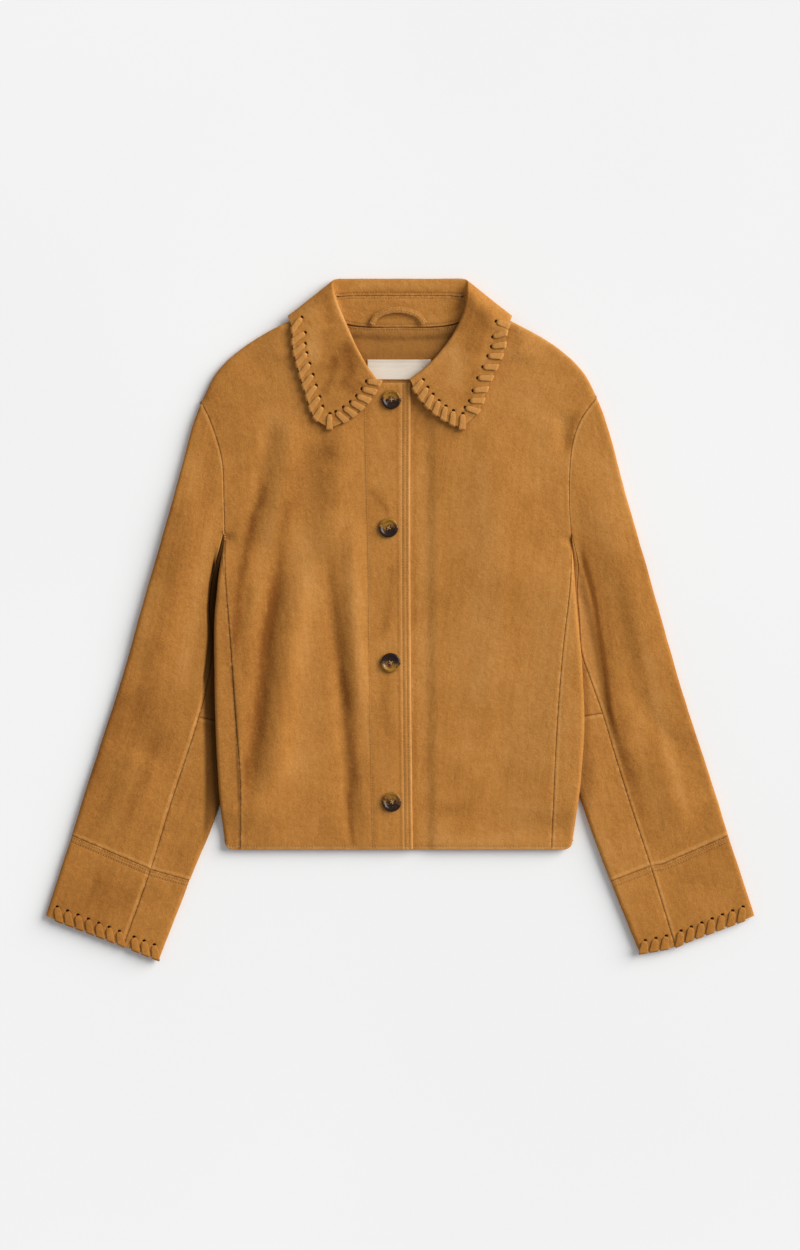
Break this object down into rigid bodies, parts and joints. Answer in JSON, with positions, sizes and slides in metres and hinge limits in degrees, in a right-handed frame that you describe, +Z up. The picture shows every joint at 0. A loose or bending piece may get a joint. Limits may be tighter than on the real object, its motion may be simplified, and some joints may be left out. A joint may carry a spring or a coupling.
{
  "type": "suede jacket",
  "caption": "Short suede jacket laid flat on its back, with a thong-laced collar and cuffs, a closed button front, a hanger loop and a bare label.",
  "frame": {"origin": "centre of the jacket's outline as it lies, on the surface under its back", "axes": "+Z up from the surface, out of the jacket's front; +Y from the hem to the collar; +X to the wearer's left sleeve"},
  "size_m": [0.7998, 0.7701, 0.0184],
  "materials": {
    "suede": "brushed tan suede, dull, with a short nap",
    "suede_inside": "the suede's darker flesh side, dull",
    "thong": "light tan split-leather thong, dull",
    "satin": "cream woven satin, soft sheen",
    "horn": "polished dark tortoise"
  },
  "bodies": {
    "root": {"back_facing": "suede_inside", "back_panel": "suede", "button_1": "horn", "button_2": "horn", "button_3": "horn", "button_4": "horn", "collar_fall": "suede", "collar_lacing_left": "thong", "collar_lacing_right": "thong", "collar_stand": "suede", "cuff_lacing_left": "thong", "cuff_lacing_right": "thong", "cuff_under_left": "suede", "cuff_under_right": "suede", "cuff_upper_left": "suede", "cuff_upper_right": "suede", "front_left": "suede", "front_right": "suede", "hanger_loop": "suede", "label": "satin", "side_panel_left": "suede", "side_panel_right": "suede", "under_sleeve_low_left": "suede", "under_sleeve_low_right": "suede", "under_sleeve_top_left": "suede", "under_sleeve_top_right": "suede", "upper_sleeve_left": "suede", "upper_sleeve_right": "suede"}
  },
  "joints": []
}
